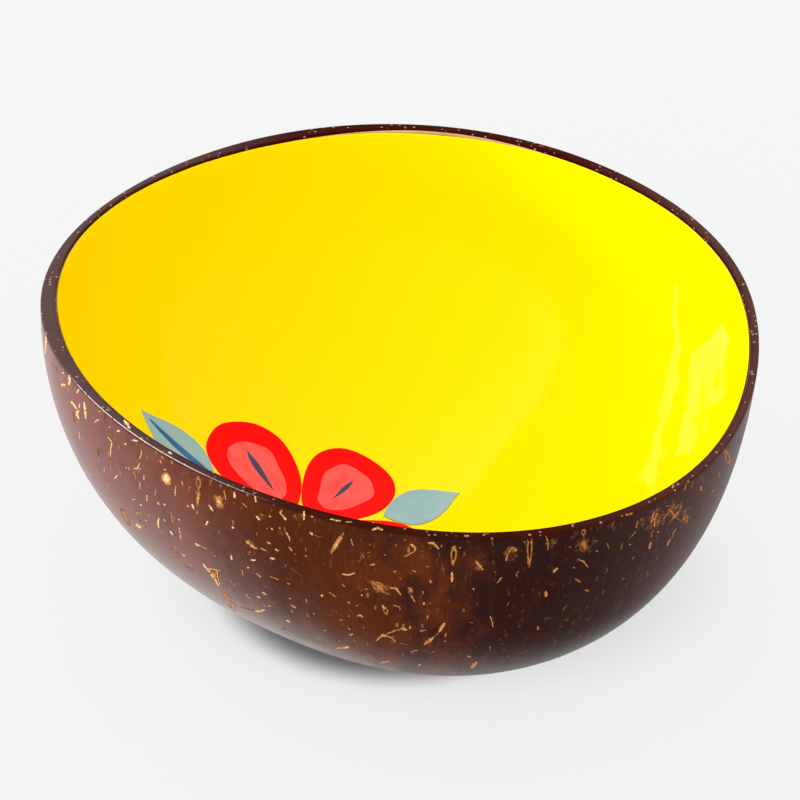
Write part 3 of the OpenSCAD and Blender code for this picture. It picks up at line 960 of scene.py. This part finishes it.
patches = []
for x, y, across in ((219, 501, 12), (254, 545, 13), (262, 517, 8), (380, 586, 17), (412, 548, 11),
                     (478, 565, 10), (511, 553, 13), (584, 545, 15), (655, 520, 20), (674, 512, 20),
                     (686, 518, 16), (726, 458, 13), (392, 639, 11), (138, 467, 12), (640, 524, 12),
                     (140, 524, 12), (551, 542, 10), (431, 545, 10), (300, 517, 9), (347, 522, 9),
                     (212, 575, 11), (285, 536, 8), (172, 517, 9)):
    patches.append((behind_pixel(x, y)[0], across * PIXEL))
for _ in range(40):
    spot = spot_by_lot(54 * MM, 0.5)
    if spot:
        patches.append((spot[0], random.uniform(1.5, 4) * MM))
fibre_patch = shell.data.attributes.new("fibre_patch", 'FLOAT', 'POINT')
for vertex in shell.data.vertices:
    fibre_patch.data[vertex.index].value = max(
        max(0, 1 - (vertex.co - middle).length / reach) for middle, reach in patches)
print("patches of fibre", len(patches))
shell.data.materials.append(shell_finish())
fibres.data.materials.append(fibre_finish())
print("shell finish", len(shell.data.materials[0].node_tree.nodes), "nodes")

# %% [markdown]
# ## Lacquer and paints
#
# The lacquer is brushed on thick and levels out by itself, so it is glossy, with long shallow
# waves that bend every reflection. The paints lie on it with finer marks of the brush.

# %% Finish for the ground and the paints
def coat_finish(name, colour, second, roughness, wave_size, wave_height, tint=(1, 1, 1)):
    """A coat brushed outwards: fine ridges in millimetres, and a second tone where it is thin."""
    finish = Finish(name, Specular_IOR_Level=0.25, Specular_Tint=(*tint, 1))
    x, y, _ = finish.parts(finish.place())
    aside, ahead = x - BLOSSOM.x, y - BLOSSOM.y
    reach = (aside * aside + ahead * ahead) ** 0.5
    strokes = finish.vector(aside / reach * 5, ahead / reach * 5, reach / (6 * MM))
    waves = finish.clouds(strokes, 3 / wave_size, 3.0, 0.6)
    finish.set("Base Color", finish.mix(waves.ramp(0.4, 0.7), (*colour, 1), (*second, 1)))
    finish.set("Roughness", roughness * 0.8 + roughness * 0.4 * waves)
    finish.set("Normal", finish.bump(waves, wave_height * MM))
    return finish.material


# %% Finish for the lacquer
def lacquer_finish():
    """Thick gloss that has sagged on the steep wall, so a window bends into ragged streaks."""
    finish = Finish("yellow_gloss_lacquer", Specular_IOR_Level=0.25,
                    Specular_Tint=(1, 0.8, 0.06, 1))
    x, y, z = finish.parts(finish.place())
    # The yellow is painted paler towards the right: painted light, as the right wall faces the
    # brighter left.
    to_right = (x / MM).ramp(-50, 20)
    finish.set("Base Color", finish.mix(to_right, (0.98, 0.71, 0, 1), (0.98, 0.77, 0, 1)))
    waves = finish.clouds(finish.place(), 1 / (22 * MM), 2.0)
    ragged = finish.clouds(finish.vector(x * 2.2, y, z * 0.6), 1 / (4.5 * MM), 3.0, 0.6) - 0.5
    height = z / MM + ragged * 5
    turn = y.math('ARCTAN2', x) * math.degrees(1)
    bulges = turn.ramp(2, 10) * (1 - turn.ramp(14, 22)) + turn.ramp(-9, -3) * (1 - turn.ramp(-1, 4))
    from_thin = (height - 27 - turn * 0.36 - turn * turn * 0.0085).size()
    thin_run = (1.6 + 1.1 * bulges - from_thin).ramp(0, 1)
    thin_run = thin_run * turn.ramp(-20, -11) * (1 - turn.ramp(26, 33))
    down_run = height + turn * 0.67
    aside_run = height - turn * 0.38
    wide, tip = down_run.ramp(36, 44), down_run.ramp(48, 57)
    from_broad = (aside_run - 37.5 - wide * 5 - tip * 3.5).size()
    broad_run = ((5.5 + 4 * wide) * (1 - tip) - from_broad).ramp(0, 1.4) * down_run.ramp(20, 29)
    beside = (2.2 - (aside_run - 46.5).size()).ramp(0, 0.9) * down_run.ramp(25, 30)
    beside = beside * (1 - down_run.ramp(38, 42))
    sag = thin_run * 0.42 + (broad_run + beside) * (0.52 + ragged * 0.4)
    facing = finish.node("NewGeometry", output="Normal")
    upwards = finish.vector(0, 0, sag)
    tilted = finish.node("VectorMath", {"operation": 'ADD'}, {0: facing, 1: upwards})
    finish.set("Roughness", 0.07 + 0.06 * waves)
    finish.set("Normal", finish.bump(waves + ragged * 0.2, 0.4 * MM, normal=tilted))
    return finish.material


# %% Give the coats their finishes
lacquer.data.materials.append(lacquer_finish())
for piece, *look in (
        (ground, "tan_ground", (0.62, 0.42, 0.22), (0.42, 0.24, 0.12), 0.6, 4, 0.02),
        (red, "red_gloss_paint", (0.97, 0.001, 0.001), (0.88, 0.001, 0.001), 0.3, 3, 0.03,
         (1, 0.05, 0.05)),
        (coral, "coral_thin_paint", (0.97, 0.105, 0.115), (0.95, 0.07, 0.08), 0.35, 2, 0.03,
         (1, 0.3, 0.3)),
        (navy, "navy_paint_dark", (0.036, 0.036, 0.12), (0.06, 0.06, 0.16), 0.35, 2, 0.02),
        (leaves, "grey_blue_paint_mid", (0.24, 0.43, 0.56), (0.28, 0.47, 0.6), 0.35, 3, 0.03),
        (veins, "blue_paint_clear", (0.008, 0.12, 0.42), (0.02, 0.16, 0.5), 0.35, 2, 0.02)):
    piece.data.materials.append(coat_finish(*look))
    print(piece.name, piece.data.materials[0].name)

# %% [markdown]
# ## Table and light
#
# The photograph has a pale seamless floor and wide soft light, stronger from the left. A large
# plane is the floor. It could be lit by lamps, but a real studio paper is lit from all round,
# so it glows by itself, and two ovals of shade under the bowl stand for the soft shadow. The
# sky is brighter on the left, and a long thin panel low on the left lights the bright line on
# the rim there, which the shell's finish also paints in as a pale highlight.

# %% Lay the floor
bpy.ops.mesh.primitive_plane_add(size=6)
floor = bpy.context.object
floor.name = "studio_floor"
floor_finish = Finish("lit_studio_paper", Base_Color=(0.06, 0.06, 0.06, 1), Roughness=0.9,
                      Emission_Strength=0.82, Specular_IOR_Level=0.1)
across, deep, _ = floor_finish.parts(floor_finish.place())


def oval(middle_x, middle_y, half_x, half_y):
    """0 in the middle of an oval on the floor and 1 on its edge."""
    x, y = (across / MM - middle_x) / half_x, (deep / MM - middle_y) / half_y
    return (x ** 2 + y ** 2) ** 0.5


tight_shadow = oval(0, 1, 30, 30).ramp(0.95, 1.22)
wide_shadow = oval(9, 2, 52, 40).ramp(0.6, 1.1)
floor_finish.set("Emission Color", (0.15 + 0.85 * tight_shadow) * (0.8 + 0.2 * wide_shadow))
floor.data.materials.append(floor_finish.material)
print("floor", [round(side, 1) for side in floor.dimensions.xy], "m")

# %% Light it
sky = bpy.data.worlds.new("studio_sky")
sky.use_nodes = True
nodes, links = sky.node_tree.nodes, sky.node_tree.links
direction = nodes.new("ShaderNodeTexCoord")
split = nodes.new("ShaderNodeSeparateXYZ")
from_left = nodes.new("ShaderNodeMapRange")
for socket, value in (("From Min", -1), ("From Max", 1), ("To Min", 2), ("To Max", 0.8)):
    from_left.inputs[socket].default_value = value
background = nodes["Background"]
background.inputs["Color"].default_value = (1, 1, 1, 1)
links.new(direction.outputs["Generated"], split.inputs["Vector"])
links.new(split.outputs["X"], from_left.inputs["Value"])
links.new(from_left.outputs["Result"], background.inputs["Strength"])
bpy.context.scene.world = sky

turn, rise = math.radians(182), math.radians(10)
way = Vector((math.cos(turn) * math.cos(rise), math.sin(turn) * math.cos(rise), math.sin(rise)))
bpy.ops.object.light_add(type='AREA', location=way + Vector((0, 0, 40 * MM)))
strip = bpy.context.object
strip.name = "left_strip"
strip.rotation_euler = way.to_track_quat('Z', 'Y').to_euler()
strip.data.shape = 'RECTANGLE'
strip.data.size, strip.data.size_y = 1.25, 0.06
strip.data.energy = 4
strip.visible_camera = False
bpy.context.scene.view_settings.view_transform = 'Standard'
print(sky.name, "and", strip.name)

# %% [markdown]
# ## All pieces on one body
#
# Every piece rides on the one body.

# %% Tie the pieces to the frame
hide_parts("coconut_shell")
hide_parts("ground_coat")
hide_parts("yellow_lacquer")
for piece, slot in ((shell, "polished_shell"), (ground, "ground_coat"), (lacquer, "yellow_lacquer"),
                    (red, "red_paint"), (coral, "coral_paint"), (navy, "navy_paint"),
                    (leaves, "grey_blue_paint"), (veins, "blue_paint"),
                    (fibres, "polished_shell")):
    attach(piece, "root")
